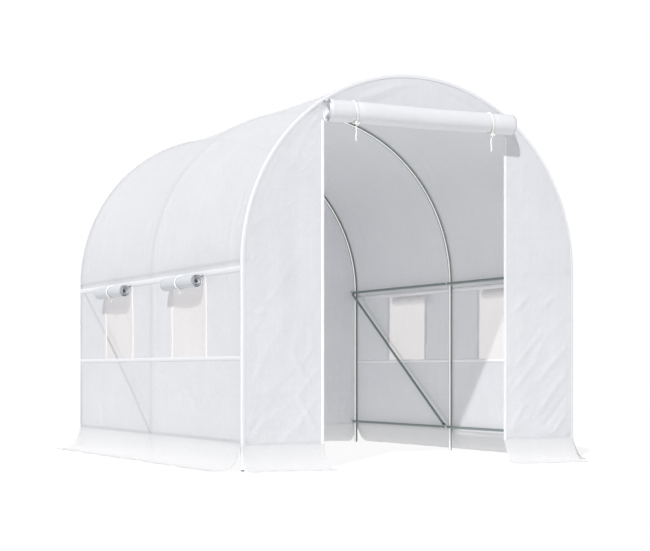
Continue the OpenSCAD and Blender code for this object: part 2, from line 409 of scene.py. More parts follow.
def insect_net(name, colour):
    look = Look(name)
    u, v, _, spot = look.place_on("cloth")
    grid = threads(u, v, NET_SPACING, NET_THREAD)
    stain = look.clouds(spot, 12.0, 3.0)
    tint = look.colours(stain, tuple(c * 0.97 for c in colour), colour)
    # painted shadows of the steel behind the net, stronger than on the sheet
    behind = (painted_steel_shadows(u, height_to_girth(v)) * 1.7).limit()
    tint = look.colours(behind, tint, NET_PAINTED_SHADOW)
    surface = look.surface(tint, stain * 0.1 + 0.6, look.bump(grid, 0.0004, 0.15),
                           {"Emission Color": (*colour, 1), "Emission Strength": NET_GLOW})
    through = look.node("BsdfTranslucent", None, {"Color": (*colour, 1)})
    yarn = look.blend(surface, through, 0.5)
    return look.finish(look.opened(yarn, (1.0 - grid * 0.8) * NET_CLEARNESS))


net_cloth = insect_net("insect net", (0.99, 0.96, 0.955))

# %% [markdown]
# The tubes are galvanised steel under a thin grey-green satin coat. The coat breaks up into small
# crystals, called spangle, and carries fine draw marks along the tube. Cells of random tone give the
# crystals, and a stretched noise gives the marks. Each hoop also gets a painted highlight, a pale line
# along the side that faces inwards, found by how far the surface faces inwards. It glows a little by
# itself, so that it reads as a bright line. The ties are braided cord, whose strands are two crossing
# waves.


# %% Make the steel and the cord
# the painted highlight on the hoops: where its middle faces, how fast it fades, how full it is and its glow
HIGHLIGHT_AT = 0.66  # how far its middle faces inwards
HIGHLIGHT_FADE = 6.5
HIGHLIGHT_FULL = 2.3
HIGHLIGHT_GLOW = 0.22


def coated_steel(name, pale, deep, metallic, roughness, seam=None):
    """seam is the colour of a painted highlight, which glows a little, on the side that faces inwards and a
    little downwards.
    """
    look = Look(name)
    x, _, z, spot = look.place_on()
    crystal = look.node("TexVoronoi", {"feature": "F1"}, {"Vector": spot, "Scale": 260.0}, "Color")
    grain = look.node("SeparateColor", None, {0: crystal})
    marks = look.clouds(spot, 30.0, 4.0, (8.0, 8.0, 1.0))
    colour = look.colours((grain * 0.5 + marks * 0.5).limit(), deep, pale)
    shine, painted_glow = metallic, (0, 0, 0, 1)
    if seam:
        # painted highlight: paler, less metallic and faintly glowing on the side that faces inwards
        across, _, up = look.axes(look.node("TexCoord", None, None, "Normal"))
        faces_in = (across * x + up * (z * 0.5)) * -1.0
        highlight = (HIGHLIGHT_FULL - abs(faces_in - HIGHLIGHT_AT) * HIGHLIGHT_FADE).limit()
        colour = look.colours(highlight, colour, seam)
        shine = (1.0 - highlight) * metallic
        painted_glow = look.colours(highlight, (0, 0, 0), seam)
    return look.finish(look.surface(
        colour, grain * 0.08 + marks * 0.1 + (roughness - 0.09),
        look.bump(grain * 0.4 + marks * 0.6, 0.0002, 0.25),
        {"Metallic": shine, "Emission Color": painted_glow, "Emission Strength": HIGHLIGHT_GLOW}))


def braided_cord(name, pale, deep, pitch=0.0048):
    look = Look(name)
    u, v, _, spot = look.place_on("cloth")
    left = (u * (2 * math.pi / pitch) + v * (2 * math.pi * 3)).sin()
    right = (u * (2 * math.pi / pitch) - v * (2 * math.pi * 3)).sin()
    strands = abs(left * right) ** 0.6
    fuzz = look.clouds(spot, 90.0, 3.0)
    colour = look.colours((strands * 0.7 + fuzz * 0.3).math("MINIMUM", 1.0), deep, pale)
    return look.finish(look.surface(colour, fuzz * 0.15 + 0.65,
                                    look.bump(strands + fuzz * 0.3, 0.0006, 0.7)))


# the hoops carry a painted highlight in this pale colour
hoop_steel = coated_steel("galvanised hoop", (0.37, 0.41, 0.395), (0.22, 0.25, 0.24), 0.50, 0.34,
                          seam=(0.98, 0.99, 0.96))
rail_steel = coated_steel("galvanised rail", (0.30, 0.35, 0.33), (0.17, 0.21, 0.195), 0.40, 0.40)
bolt_steel = coated_steel("zinc plated bolt", (0.82, 0.83, 0.83), (0.62, 0.64, 0.64), 0.9, 0.28)
cord_yarn = braided_cord("braided cord", (0.97, 0.965, 0.945), (0.83, 0.82, 0.79))

# %% [markdown]
# Nearly every soft piece is a grid of points that is bent into place, or a section that is swept along a
# path. Both could be drawn with modifiers, but then the cloth's own coordinates would be lost, and the
# weave with them. So two helpers make the meshes directly: each gives every corner its flat coordinates
# in metres.


# %% Helpers for grids and sweeps
def new_piece(name, points, faces, flat, material, slot, sharp=None):
    """A mesh object with flat cloth coordinates for each point. It belongs to the tunnel's one body."""
    points = np.asarray(points, float).reshape(-1, 3)
    flat = np.asarray(flat, float).reshape(-1, 2)
    used = sorted({corner for face in faces for corner in face})
    number = dict(zip(used, range(len(used))))
    mesh = bpy.data.meshes.new(name)
    mesh.from_pydata(points[used].tolist(), [], [[number[corner] for corner in face] for face in faces])
    corners = np.empty(len(mesh.loops), np.int32)
    mesh.loops.foreach_get("vertex_index", corners)
    layer = mesh.uv_layers.new(name="cloth")
    layer.uv.foreach_set("vector", flat[used][corners].astype(np.float32).ravel())
    mesh.shade_smooth()
    if sharp:
        mesh.set_sharp_from_angle(angle=math.radians(sharp))
    mesh.materials.append(material)
    obj = added(name, mesh)
    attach(obj, "root")
    return obj


def grid_faces(rows, columns, round_columns=False, keep=None):
    """Four corners for each cell of a grid, leaving out the cells where keep is False."""
    numbers = np.arange(rows * columns).reshape(rows, columns)
    if round_columns:
        numbers = np.hstack([numbers, numbers[:, :1]])
    cells = np.stack([numbers[:-1, :-1], numbers[1:, :-1], numbers[1:, 1:], numbers[:-1, 1:]], -1)
    if keep is not None:
        cells = cells[keep]
    return cells.reshape(-1, 4).tolist()


def sheet_piece(name, points, flat, material, slot, keep=None):
    """A single layer of cloth from a grid of points."""
    rows, columns = points.shape[:2]
    return new_piece(name, points, grid_faces(rows, columns, keep=keep), flat, material, slot)


def thicken(obj, thickness, offset):
    """Gives a sheet two sides and an edge. offset 0 grows it both ways, and -1 grows it one way only."""
    modifier = obj.modifiers.new("thickness", "SOLIDIFY")
    modifier.thickness = thickness
    modifier.offset = offset
    return obj


def unit(vectors):
    return vectors / np.linalg.norm(vectors, axis=-1, keepdims=True)


def sweep_mesh(path, side, out, section):
    """Points, faces and flat coordinates of a closed section swept along a path, with both ends capped.

    A section point is (distance along side, distance along out, cloth coordinate across)."""
    path = np.asarray(path, float)
    section = np.asarray(section, float)
    side = np.broadcast_to(side, path.shape)
    out = np.broadcast_to(out, path.shape)
    points = path[:, None] + side[:, None] * section[None, :, :1] + out[:, None] * section[None, :, 1:2]
    step = np.linalg.norm(np.diff(path, axis=0), axis=1)
    run = np.concatenate([[0], np.cumsum(step)])
    rows, columns = points.shape[:2]
    flat = np.empty((rows, columns, 2))
    flat[..., 0] = run[:, None]
    flat[..., 1] = section[None, :, 2]
    faces = grid_faces(rows, columns, round_columns=True)
    faces.append(list(range(columns)))
    faces.append(list(range(rows * columns - 1, (rows - 1) * columns - 1, -1)))
    return points.reshape(-1, 3), faces, flat.reshape(-1, 2)


def sweep(name, path, side, out, section, material, slot, sharp=50):
    return new_piece(name, *sweep_mesh(path, side, out, section), material, slot, sharp)


def strip_section(width, thickness):
    """A flat strip with softened edges: its cloth coordinate runs from -1 to 1 across the upper side."""
    half = width / 2
    edge = min(thickness * 0.6, half / 3)
    upper = [(-half, 0.0, -1.0), (-half, thickness - edge, -1.0), (-half + edge, thickness, -0.95)]
    lower = [(half - edge, thickness, 0.95), (half, thickness - edge, 1.0), (half, 0.0, 1.0)]
    return upper + lower


def circle(sides):
    """A round section of radius 1."""
    return [(math.cos(2 * math.pi * i / sides), math.sin(2 * math.pi * i / sides), i / sides)
            for i in range(sides)]


def tube_frames(path):
    """Two directions square to a path at each of its points, turned as little as possible."""
    along = unit(np.gradient(np.asarray(path, float), axis=0))
    first = np.cross(along[0], (0.31, 0.17, 0.93))
    sides = [first / np.linalg.norm(first)]
    for direction in along[1:]:
        turned = sides[-1] - direction * np.dot(sides[-1], direction)
        sides.append(turned / np.linalg.norm(turned))
    side = np.asarray(sides)
    return side, np.cross(along, side)


def tube_mesh(path, radius, sides=12):
    """A round cord along a path. radius is one number or one for each point."""
    path = np.asarray(path, float)
    side, out = tube_frames(path)
    radius = np.broadcast_to(radius, len(path))[:, None]
    return sweep_mesh(path, side * radius, out * radius, circle(sides))


def joined(*parts):
    """Several meshes as one: lists of points, faces and flat coordinates."""
    points, part_faces, flat = zip(*parts)
    starts = np.cumsum([0] + [len(part) for part in points])
    faces = [[corner + start for corner in face]
             for group, start in zip(part_faces, starts) for face in group]
    return np.concatenate(points), faces, np.concatenate(flat)


def lines(stops, step):
    """Numbers from the first stop to the last that meet every stop, at most a step apart."""
    runs = []
    for low, high in zip(stops[:-1], stops[1:]):
        count = max(1, math.ceil((high - low) / step - 1e-6))
        runs.append(np.linspace(low, high, count, endpoint=False))
    return np.concatenate(runs + [[stops[-1]]])


def field(a, b, seed=0.0):
    """Smooth noise from about -1 to 1 at each pair of numbers."""
    a, b = np.broadcast_arrays(a, b)
    flat = [noise.noise(Vector((x, y, seed))) for x, y in zip(a.ravel().tolist(), b.ravel().tolist())]
    return np.asarray(flat).reshape(a.shape)


def ridges(a, b, seed=0.0):
    """Noise with narrow crests, as thin film folds: 0 in the flats and up to 1 on a crest."""
    return np.clip(1 - 3.2 * np.abs(field(a, b, seed)), 0, 1) ** 2


print("helpers ready")

# %% [markdown]
# The two door ties end in free cords, so their route is settled before anything else. Each leaves the knot
# under the rolled door and hangs down with a slight wave, because braided cord remembers how it was tied.
# It is a tube along that route with a rounded end, where the cord was sealed with heat.

# %% Hang the free ends of the door ties
CORD_D = 0.008
TAIL_X = [0, 0, 0, 1, 2, 3, 3, 2, 1, 0, -1, -1, 0, 1, 2]
TAIL_STEP = 0.0054
TIP_DROP = [0.0014, 0.0024, 0.0028]
TIP_R = [CORD_D * 0.38, CORD_D * 0.22, CORD_D * 0.06]
KNOT_ABOVE = 0.0103
door_knots = {}
for side_name, side in SIDES.items():
    tie_x = centre_and_size("door_tie_" + side_name)[0][0]
    tail_node = "door_tie_tail_" + side_name
    exit_point = (tie_x, centre_and_size(tail_node)[0][1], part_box(tail_node)[1].z)
    route = [(tie_x - side * x / 1000, exit_point[1], exit_point[2] - i * TAIL_STEP)
             for i, x in enumerate(TAIL_X)]
    tip = [(route[-1][0], route[-1][1], route[-1][2] - drop) for drop in TIP_DROP]
    radius = [CORD_D / 2] * (len(route) - 1) + [CORD_D / 2 * 0.9] + TIP_R
    tail = new_piece("tie_tail_" + side_name, *tube_mesh(route + tip, radius), cord_yarn, "tie_cord")
    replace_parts(tail, tail_node)
    door_knots[side_name] = Vector((tie_x, exit_point[1], exit_point[2] + KNOT_ABOVE))
    print("cord tail", side_name, "hangs", round(exit_point[2] - route[-1][2], 4), "m")

# %% [markdown]
# The roof and both long walls are one sheet. A point of it is found by how far it is round the tunnel from
# the crown, and how far it is along it. Between the hoops the sheet sinks in a little, gathers in soft
# folds beside each hoop, and keeps small crumples from its box. A cloth simulation would find similar
# shapes, but slowly, and it would pull the windows out of true, so the slack is written as a formula.


# %% Shape the sheet between the hoops
EDGE = HALF_L - 0.004
GIRTH = QUARTER + SPRING - SEAM_Z


def skin(g, y, out=0.0):
    """The point g metres round from the crown and y along the tunnel, and the direction out of it."""
    g, y, out = np.broadcast_arrays(np.asarray(g, float), y, out)
    turn = np.clip(g / HALF_W, -math.pi / 2, math.pi / 2)
    down = np.maximum(np.abs(g) - QUARTER, 0)
    outward = np.stack([np.sin(turn), np.zeros_like(turn), np.cos(turn)], -1)
    base = np.stack([np.zeros_like(turn), y, SPRING - down], -1)
    return base + outward * (HALF_W + out)[..., None], outward


# hoop, distance of the fold from it, width and depth
HOOP_FOLDS = [
    ("rear", -0.060, 0.016, 0.0034),
    ("rear", -0.115, 0.018, 0.0030),
    ("rear", -0.190, 0.024, 0.0028),
    ("rear", -0.290, 0.032, 0.0024),
    ("middle", 0.055, 0.016, 0.0034),
    ("middle", 0.120, 0.024, 0.0026),
    ("middle", -0.050, 0.016, 0.0034),
    ("middle", -0.110, 0.024, 0.0028),
    ("middle", -0.200, 0.036, 0.0020),
    ("front", 0.060, 0.016, 0.0026),
    ("front", 0.130, 0.026, 0.0022),
]


def arc_folds(g, y):
    """Ridges that run round the arch beside the hoops, each with a wander of its own."""
    total = np.zeros_like(g)
    fade = np.sin(math.pi * np.clip(np.abs(g) / (QUARTER + 0.35), 0, 1)) ** 0.6
    for place, offset, width, depth in HOOP_FOLDS:
        wander = field(g * 1.3, offset * 10, 7.0) * abs(offset) * 0.35
        away = (y - HOOPS[place] - offset - wander) / width
        total = total + depth * fade * np.exp(-away ** 2) * (0.75 + field(g * 2.2, offset * 20, 9.0))
    return total


def slack(g, y):
    """How far the sheet lies inside its drawn shape."""
    g, y = np.broadcast_arrays(np.asarray(g, float), np.asarray(y, float))
    front = y < HOOPS["middle"]
    start = np.where(front, HOOPS["front"], HOOPS["middle"])
    share = np.clip((y - start) / HOOPS["rear"], 0, 1)
    bow = 4 * share * (1 - share)
    turn = np.clip(np.abs(g) / HALF_W, 0, math.pi / 2)
    roof = np.cos(turn) ** 0.7
    down = np.clip((np.abs(g) - QUARTER) / (SPRING - SEAM_Z), 0, 1)
    depth = np.where(front, 0.011, 0.018) * roof + 0.006 * np.sin(math.pi * down) + 0.003 * (1 - roof)
    beside = np.exp(-np.minimum(share, 1 - share) * HOOPS["rear"] / 0.16)
    gathers = field(y * 11 + g * 0.7, g * 0.8, 3.0) * (0.0012 + 0.0022 * beside) * np.minimum(bow * 5, 1)
    crumples = field(g * 7, y * 7, 8.0) * 0.0012 + ridges(g * 3.1, y * 3.4, 5.0) * 0.0022 * bow
    waves = gathers + crumples * np.minimum(bow * 3 + 0.15, 1) - arc_folds(g, y) * np.minimum(bow * 8, 1)
    return depth * bow + waves


def cover(g, y, out=0.0):
    """A point on the slack sheet, or a little outside it."""
    return skin(g, y, out - slack(g, y))[0]


window_girth = {}
for place, (y_low, y_high, z_low, z_high) in windows.items():
    window_girth[place] = (height_to_girth(z_high), height_to_girth(z_low))
y_stops = sorted({-EDGE, HOOPS["front"], HOOPS["middle"], HOOPS["rear"], EDGE}
                 | {y for w in windows.values() for y in w[:2]})
g_wall = sorted({QUARTER, GIRTH} | {g for pair in window_girth.values() for g in pair})
y_lines = lines(y_stops, 0.0132)
g_lines = lines([-g for g in reversed(g_wall)] + [0.0] + g_wall, 0.0132)
g_grid, y_grid = np.meshgrid(g_lines, y_lines, indexing="ij")
g_mid = np.abs(g_lines[:-1] + g_lines[1:]) / 2
y_mid = (y_lines[:-1] + y_lines[1:]) / 2
keep = np.ones((len(g_mid), len(y_mid)), bool)
for place, (y_low, y_high, _, _) in windows.items():
    g_low, g_high = window_girth[place]
    keep &= ~(((g_mid > g_low) & (g_mid < g_high))[:, None] & ((y_mid > y_low) & (y_mid < y_high))[None])
canopy = sheet_piece("canopy", cover(g_grid, y_grid), np.stack([y_grid, g_grid], -1),
                     canopy_cloth, "cover_cloth", keep)
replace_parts(canopy, "cover_roof", "cover_wall_left", "cover_wall_right")
cut_out = sum((w[1] - w[0]) * (w[3] - w[2]) * 2 for w in windows.values())
4 * EDGE * GIRTH - cut_out
["hoop_" + h + "_arch_" + s for h in HOOPS for s in ("left", "right")]
print("canopy", len(canopy.data.polygons), "cells")

# %% [markdown]
# The front is a second sheet with a doorway cut up into it, like an upside-down U. Laying the grid from the
# doorway's edge to the hoop keeps both outlines clean. Where the ties pull, and where the corners are
# pegged, folds run across it: each is a short ridge between two points.


# %% Make the front sheet
def fold(x, z, start, end, width, depth):
    """A soft ridge from start to end, tallest in its middle."""
    along = np.asarray(end, float) - start
    length = np.linalg.norm(along)
    along = along / length
    run = ((x - start[0]) * along[0] + (z - start[1]) * along[1]) / length
    off = (x - start[0]) * along[1] - (z - start[1]) * along[0]
    fade = np.sin(math.pi * np.clip(run, 0, 1)) ** 0.7
    return depth * fade * np.exp(-(off / width) ** 2)


# start and end of the fold as x and z, its width and its depth
FRONT_FOLDS = [
    ((-0.40, 1.86), (-0.03, 2.00), 0.022, 0.0045),
    ((-0.42, 1.86), (-0.62, 1.74), 0.016, 0.0030),
    ((0.42, 1.86), (0.10, 1.99), 0.020, -0.0025),
    ((0.44, 1.85), (0.66, 1.70), 0.016, 0.0030),
    ((0.98, 0.52), (0.74, 0.24), 0.015, 0.0055),
    ((0.99, 0.40), (0.78, 0.16), 0.012, -0.0050),
    ((0.99, 0.66), (0.70, 0.38), 0.018, 0.0045),
    ((0.98, 0.30), (0.86, 0.14), 0.010, 0.0055),
    ((0.80, 0.72), (0.60, 0.50), 0.014, 0.0035),
    ((0.76, 0.56), (0.58, 0.36), 0.012, 0.0035),
    ((0.72, 0.92), (0.56, 0.76), 0.014, 0.0030),
    ((0.90, 0.94), (0.76, 0.80), 0.014, 0.0028),
    ((0.70, 0.34), (0.58, 0.18), 0.011, 0.0035),
    ((-0.57, 0.16), (-0.70, 0.38), 0.014, 0.0045),
    ((-0.60, 0.14), (-0.80, 0.28), 0.012, 0.0040),
    ((-0.98, 0.15), (-0.88, 0.30), 0.012, -0.0035),
    ((-0.62, 0.42), (-0.74, 0.60), 0.016, 0.0028),
    ((-0.80, 0.50), (-0.80, 1.20), 0.050, 0.0030),
    ((-0.68, 0.70), (-0.70, 1.50), 0.045, -0.0025),
]


def end_swell(x, z, seed, folds):
    """Soft waves, small creases and the folds of an end sheet."""
    waves = field(x * 3.4, z * 1.3, seed) * 0.0026 + field(x * 11, z * 9, seed + 2) * 0.0014
    lean = (x + z) * 0.7
    creases = ridges(lean * 3.0, (x - z) * 6.5, seed + 4) * 0.0022 + ridges(x * 9, z * 8, seed + 6) * 0.0011
    low = np.clip(1.25 - z * 0.6, 0.45, 1.0)
    swell = (waves + creases) * low
    for start, end, width, depth in folds:
        swell = swell + fold(x, z, start, end, width, depth)
    return swell


def kept_out(swell, x, z):
    """The sheet lies on the hoop, so near it nothing dips inwards."""
    away = HALF_W - np.hypot(x, np.maximum(z - SPRING, 0))
    return np.maximum(swell, 0.0005 - 0.008 * np.clip((away - 0.05) / 0.06, 0, 1))


def u_paths(step):
    """The doorway's edge and the hoop's edge, point by point, as x and z."""
    corner = math.atan2(DOOR_HALF, DOOR_TOP - SPRING)
    rise = lines([0.0, 1.0], step / (DOOR_TOP - SEAM_Z))
    across = lines([-1.0, 1.0], step / DOOR_HALF)[1:-1]
    left_g = -GIRTH + rise * (GIRTH - HALF_W * corner)
    inner = [(-DOOR_HALF, SEAM_Z + r * (DOOR_TOP - SEAM_Z)) for r in rise]
    inner += [(a * DOOR_HALF, DOOR_TOP) for a in across]
    inner += [(-x, z) for x, z in reversed(inner[:len(rise)])]
    g = np.concatenate([left_g, across * corner * HALF_W, -left_g[::-1]])
    outer = skin(g, 0.0, -0.004)[0][:, (0, 2)]
    return np.asarray(inner), outer


inner_edge, outer_edge = u_paths(0.011)
width_share = np.linspace(0, 1, 44)[None, :, None]
flat_front = inner_edge[:, None] * (1 - width_share) + outer_edge[:, None] * width_share
x, z = flat_front[..., 0], flat_front[..., 1]
held = np.clip(np.minimum((1 - width_share[..., 0]) * 8, width_share[..., 0] * 10), 0, 1)
swell = end_swell(x, z, 20.0, FRONT_FOLDS)
front_points = np.stack([x, -HALF_L - kept_out(swell, x, z) * held, z], -1)
front_sheet = sheet_piece("front_sheet", front_points, flat_front, cover_cloth, "cover_cloth")
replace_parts(front_sheet, "front_panel_left", "front_panel_right", "front_header")
print("front sheet", len(front_sheet.data.polygons), "cells, folds", len(FRONT_FOLDS))

# %% [markdown]
# The rear wall is a plain D of the same sheet. Columns that crowd together towards the hoop let the top row
# follow the arch, with no torn cells at its ends.

# %% Make the rear wall
REAR_FOLDS = [
    ((-0.98, 0.50), (-0.60, 0.18), 0.024, 0.007),
    ((-0.97, 0.75), (-0.52, 0.40), 0.030, 0.005),
    ((0.97, 0.55), (0.62, 0.20), 0.024, 0.006),
    ((0.20, 1.98), (0.62, 1.62), 0.026, 0.005),
    ((-0.15, 1.96), (-0.55, 1.55), 0.026, 0.004),
    ((-0.30, 0.16), (-0.18, 0.62), 0.030, 0.004),
    ((0.34, 0.16), (0.25, 0.50), 0.026, 0.004),
]
swing = np.linspace(-math.pi / 2, math.pi / 2, 127)[:, None]
climb = np.linspace(0, 1, 118)[None]
edge_r = HALF_W - 0.004
x = edge_r * np.sin(swing) * np.ones_like(climb)
z = SEAM_Z + climb * (SPRING - SEAM_Z + edge_r * np.cos(swing))
swell = end_swell(x, z, 40.0, REAR_FOLDS)
edge_x = 1 - np.abs(x) / edge_r
edge_arc = 1 - np.hypot(x, np.maximum(z - SPRING, 0)) / edge_r
held = np.clip(np.minimum(edge_x, edge_arc) * 12, 0, 1)
rear_points = np.stack([x, HALF_L + kept_out(swell, x, z) * held, z], -1)
rear_sheet = sheet_piece("rear_sheet", rear_points[::-1], np.stack([x, z], -1)[::-1],
                         shaded_rear_cloth, "cover_cloth")
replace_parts(rear_sheet, "rear_wall")
print("rear sheet", len(rear_sheet.data.polygons), "cells")

# %% [markdown]
# Each skirt is sewn on above the ground, falls in a curve and lies outward on the soil, where it would be
# weighed down or dug in. Its corners are cut round where two skirts meet. A grid with a shortened reach at
# its ends gives those corners, noise lifts the free edge here and there, and a narrow folded hem closes it.


# %% Make the skirts
SKIRT_CURVE = 4.2
SKIRT_LIFT = 0.0022
HEM_T = 0.0012


def reach_at(t, length, start_r, end_r):
    """How far a skirt reaches out at t, with round corners at its ends."""
    reach = np.full_like(t, REACH)
    for near, r in ((t, start_r), (length - t, end_r)):
        inside = np.clip(near, 0, r)
        reach = np.minimum(reach, REACH - r + np.sqrt(np.maximum(r * r - (r - inside) ** 2, 0)))
    return reach


def skirt(place, origin, along, outward, length, start_r, end_r, seed):
    """A skirt from its origin along one side, with the radius of the corner at its start and its end."""
    name = "skirt_sheet_" + place
    origin, along, outward = (np.asarray(c, float) for c in (origin, along, outward))
    corner = 1 - np.cos(np.linspace(0, math.pi / 2, 12))
    t = np.unique(np.concatenate([lines([0.0, length], 0.016), start_r * corner, length - end_r * corner]))
    u = np.concatenate([[-0.05], np.linspace(0, 1, 20)])

    def surface(t, share, raise_by=0.0):
        out = reach_at(t, length, start_r, end_r)[:, None] * np.maximum(share, 0)
        z = SEAM_Z * (1 - out / REACH) ** SKIRT_CURVE
        z = z + np.where(share < 0, HEM, 0)
        free = (out / REACH) ** 2
        flutter = np.abs(field(t[:, None] * 6, out * 5, seed)) * 0.010 * free ** 1.5
        ripple = field(t[:, None] * 4.5, out * 3, seed + 9) * 0.006 * free
        fall = field(t[:, None] * 9, out * 0 + 1, seed + 5) * 0.004
        fall = fall * np.sin(math.pi * np.minimum(out / REACH, 1))
        z = z + SKIRT_LIFT + flutter + raise_by
        out = out + 0.0018 + ripple + fall
        place = origin + along * t[:, None, None] + outward * out[..., None]
        place[..., 2] = z
        return place

    share = np.broadcast_to(u, (len(t), len(u)))
    points = surface(t, share)
    lengths = np.linalg.norm(np.diff(points, axis=1), axis=-1)
    run = np.concatenate([np.zeros((len(t), 1)), np.cumsum(lengths, axis=1)], axis=1)
    flat = np.stack(np.broadcast_arrays(t[:, None], run), -1)
    obj = sheet_piece(name, points, flat, skirt_cloth, "skirt_cloth")
    hem_points = surface(t, np.broadcast_to(np.linspace(0.93, 1.0, 4), (len(t), 4)), HEM_T)
    hem_flat = np.stack(np.broadcast_arrays(t[:, None], np.linspace(-1, 1, 4)), -1)
    hem = sheet_piece(name + "_hem", hem_points, hem_flat, skirt_tape, "skirt_cloth")
    thicken(hem, HEM_T, -1.0)
    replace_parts(obj, "skirt_" + place)
    print(name, len(obj.data.polygons), "cells")


SIDE_R = 0.13
FRONT_R = 0.07
SHARP_R = 0.004
panel = HALF_W - DOOR_HALF
skirt("left", (-HALF_W, HALF_L, 0), (0, -1, 0), (-1, 0, 0), 2 * HALF_L, SHARP_R, SIDE_R, 61.0)
skirt("right", (HALF_W, -HALF_L, 0), (0, 1, 0), (1, 0, 0), 2 * HALF_L, SIDE_R, FRONT_R, 64.0)
skirt("front_left", (-HALF_W, -HALF_L, 0), (1, 0, 0), (0, -1, 0), panel, FRONT_R, SHARP_R, 67.0)
skirt("front_right", (DOOR_HALF, -HALF_L, 0), (1, 0, 0), (0, -1, 0), panel, FRONT_R, SHARP_R, 70.0)
skirt("rear", (HALF_W, HALF_L, 0), (-1, 0, 0), (0, 1, 0), 2 * HALF_W, FRONT_R, FRONT_R, 73.0)

# %% [markdown]
# A white binding wraps the edge where the long sheet meets an end sheet, round the whole hoop and down both
# legs. It is sewn through, so it holds a small rounded bead along the corner. One section, swept round the
# hoop, makes it: 13 mm over the roof, a rounded corner, and 15 mm down the end.


# %% Bind the edges of both ends
def rim_section():
    """Across the binding: distance out from the hoop, distance forward from the end, cloth coordinate."""
    rise, back, down, corner, thick = 0.0026, -0.013, -0.015, 0.0068, 0.0015
    turn = np.linspace(math.pi / 2, 0, 7)
    middle = rise - corner
    over = [(middle + corner * math.sin(a), middle + corner * math.cos(a)) for a in turn]
    inner = corner - thick
    under = [(middle + inner * math.sin(a), middle + inner * math.cos(a)) for a in reversed(turn)]
    outline = [(rise, back)] + over + [(down, rise), (down, rise - thick)] + under + [(rise - thick, back)]
    half = len(over) + 2
    across = list(np.linspace(-1, 1, half)) + [0.0] * (len(outline) - half)
    return [(a, b, c) for (a, b), c in zip(outline, across)]


RIM_END = 0.008
rim_reach = height_to_girth(RIM_END)
rim_g = lines([-rim_reach, -QUARTER, QUARTER, rim_reach], 0.03)
for end_name, end_side in (("front", -1), ("rear", 1)):
    edge, outward = skin(rim_g, end_side * HALF_L)
    wobble = field(rim_g * 6, 0.5, 80.0 + end_side) * 0.0012
    edge = edge + outward * wobble[:, None]
    sweep("binding_" + end_name, edge, outward, (0, end_side, 0), rim_section(), tape_cloth, "skirt_cloth")
    print("binding", end_name, "is", round(2 * rim_reach, 2), "m long")

# %% [markdown]
# Two tapes run the length of each long wall, one over the window heads and one under the sills. The head
# tape also carries the rolled flaps. They are seen from inside as well, where the same stitches hold a
# second tape, so each line is made twice: proud of the sheet outside and inside.

# %% Sew the tapes of the side walls
TOP_TAPE_Z = 1.000
TOP_TAPE_W = 0.030
SILL_TAPE_Z = 0.558
SILL_TAPE_W = 0.022
TAPE_T = 0.0014
PROUD = 0.0002
tape_y = lines([-EDGE + 0.004, HOOPS["middle"], EDGE - 0.004], 0.02)
for side_name, side in SIDES.items():
    for tape_name, tape_z, tape_w in (("head", TOP_TAPE_Z, TOP_TAPE_W), ("sill", SILL_TAPE_Z, SILL_TAPE_W)):
        for face_name, face, face_w, cloth in (("outer", 1, tape_w, tape_cloth),
                                               ("inner", -1, tape_w * 0.8, painted_bright_tape)):
            path = cover(side * height_to_girth(tape_z), tape_y, face * PROUD)
            sweep("tape_" + tape_name + "_" + face_name + "_" + side_name, path, (0, 0, 1),
                  (side * face, 0, 0), strip_section(face_w, TAPE_T), cloth, "skirt_cloth")
print("tapes: 8, each", round(float(tape_y[-1] - tape_y[0]), 2), "m long")

# %% [markdown]
# Each window is a hole in the wall with a net behind it and a border of webbing at its two sides. The net
# is cut 15 mm larger all round than the hole, and it sags a little inwards from its seams.


# %% Fit the nets and their borders
BORDER_W = 0.028
border_z = lines([SILL_TAPE_Z + 0.004, TOP_TAPE_Z - 0.006], 0.02)
for side_name, side in SIDES.items():
    for place, (y_low, y_high, z_low, z_high) in windows.items():
        tag = place + "_" + side_name
        net_y = lines([y_low - NET_HEM, y_high + NET_HEM], 0.016)
        net_z = lines([z_low - NET_HEM, z_high + NET_HEM], 0.016)
        z_grid, y_grid = np.meshgrid(net_z, net_y, indexing="ij")
        y_share = np.clip((y_grid - y_low) / (y_high - y_low), 0, 1)
        z_share = np.clip((z_grid - z_low) / (z_high - z_low), 0, 1)
        belly = np.sin(math.pi * y_share) * np.sin(math.pi * z_share)
        sag = 0.0012 + belly * 0.006 + field(y_grid * 7, z_grid * 6, 90 + side) * 0.0016 * belly ** 0.5
        points = cover(side * height_to_girth(z_grid), y_grid, -sag)
        net = sheet_piece("net_" + tag, points, np.stack([y_grid, z_grid], -1), net_cloth, "insect_net")
        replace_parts(net, "window_net_" + tag)
        for edge_name, edge_y in (("front", y_low - 0.4 * BORDER_W), ("rear", y_high + 0.4 * BORDER_W)):
            path = cover(side * height_to_girth(border_z), edge_y, PROUD)
            sweep("window_border_" + edge_name + "_" + tag, path, (0, 1, 0), (side, 0, 0),
                                 strip_section(BORDER_W, TAPE_T * 0.8), border_tape, "insect_net")
        y_high - y_low + 2 * NET_HEM
        z_high - z_low + 2 * NET_HEM
        print("net", tag, len(net.data.polygons), "cells")

# %% [markdown]
# The door and the window flaps are rolled up outwards and tied. A plain cylinder would miss what makes a
# roll: the sheet leaves the wall, goes over the top, and winds inwards until its length is used up, so its
# ends show a spiral round a hollow. The length of sheet is known, so the winding stops when it is reached.


# %% Roll up the door and the window flaps
TIE_PINCH = 0.11
ROLL_SAG = 0.10


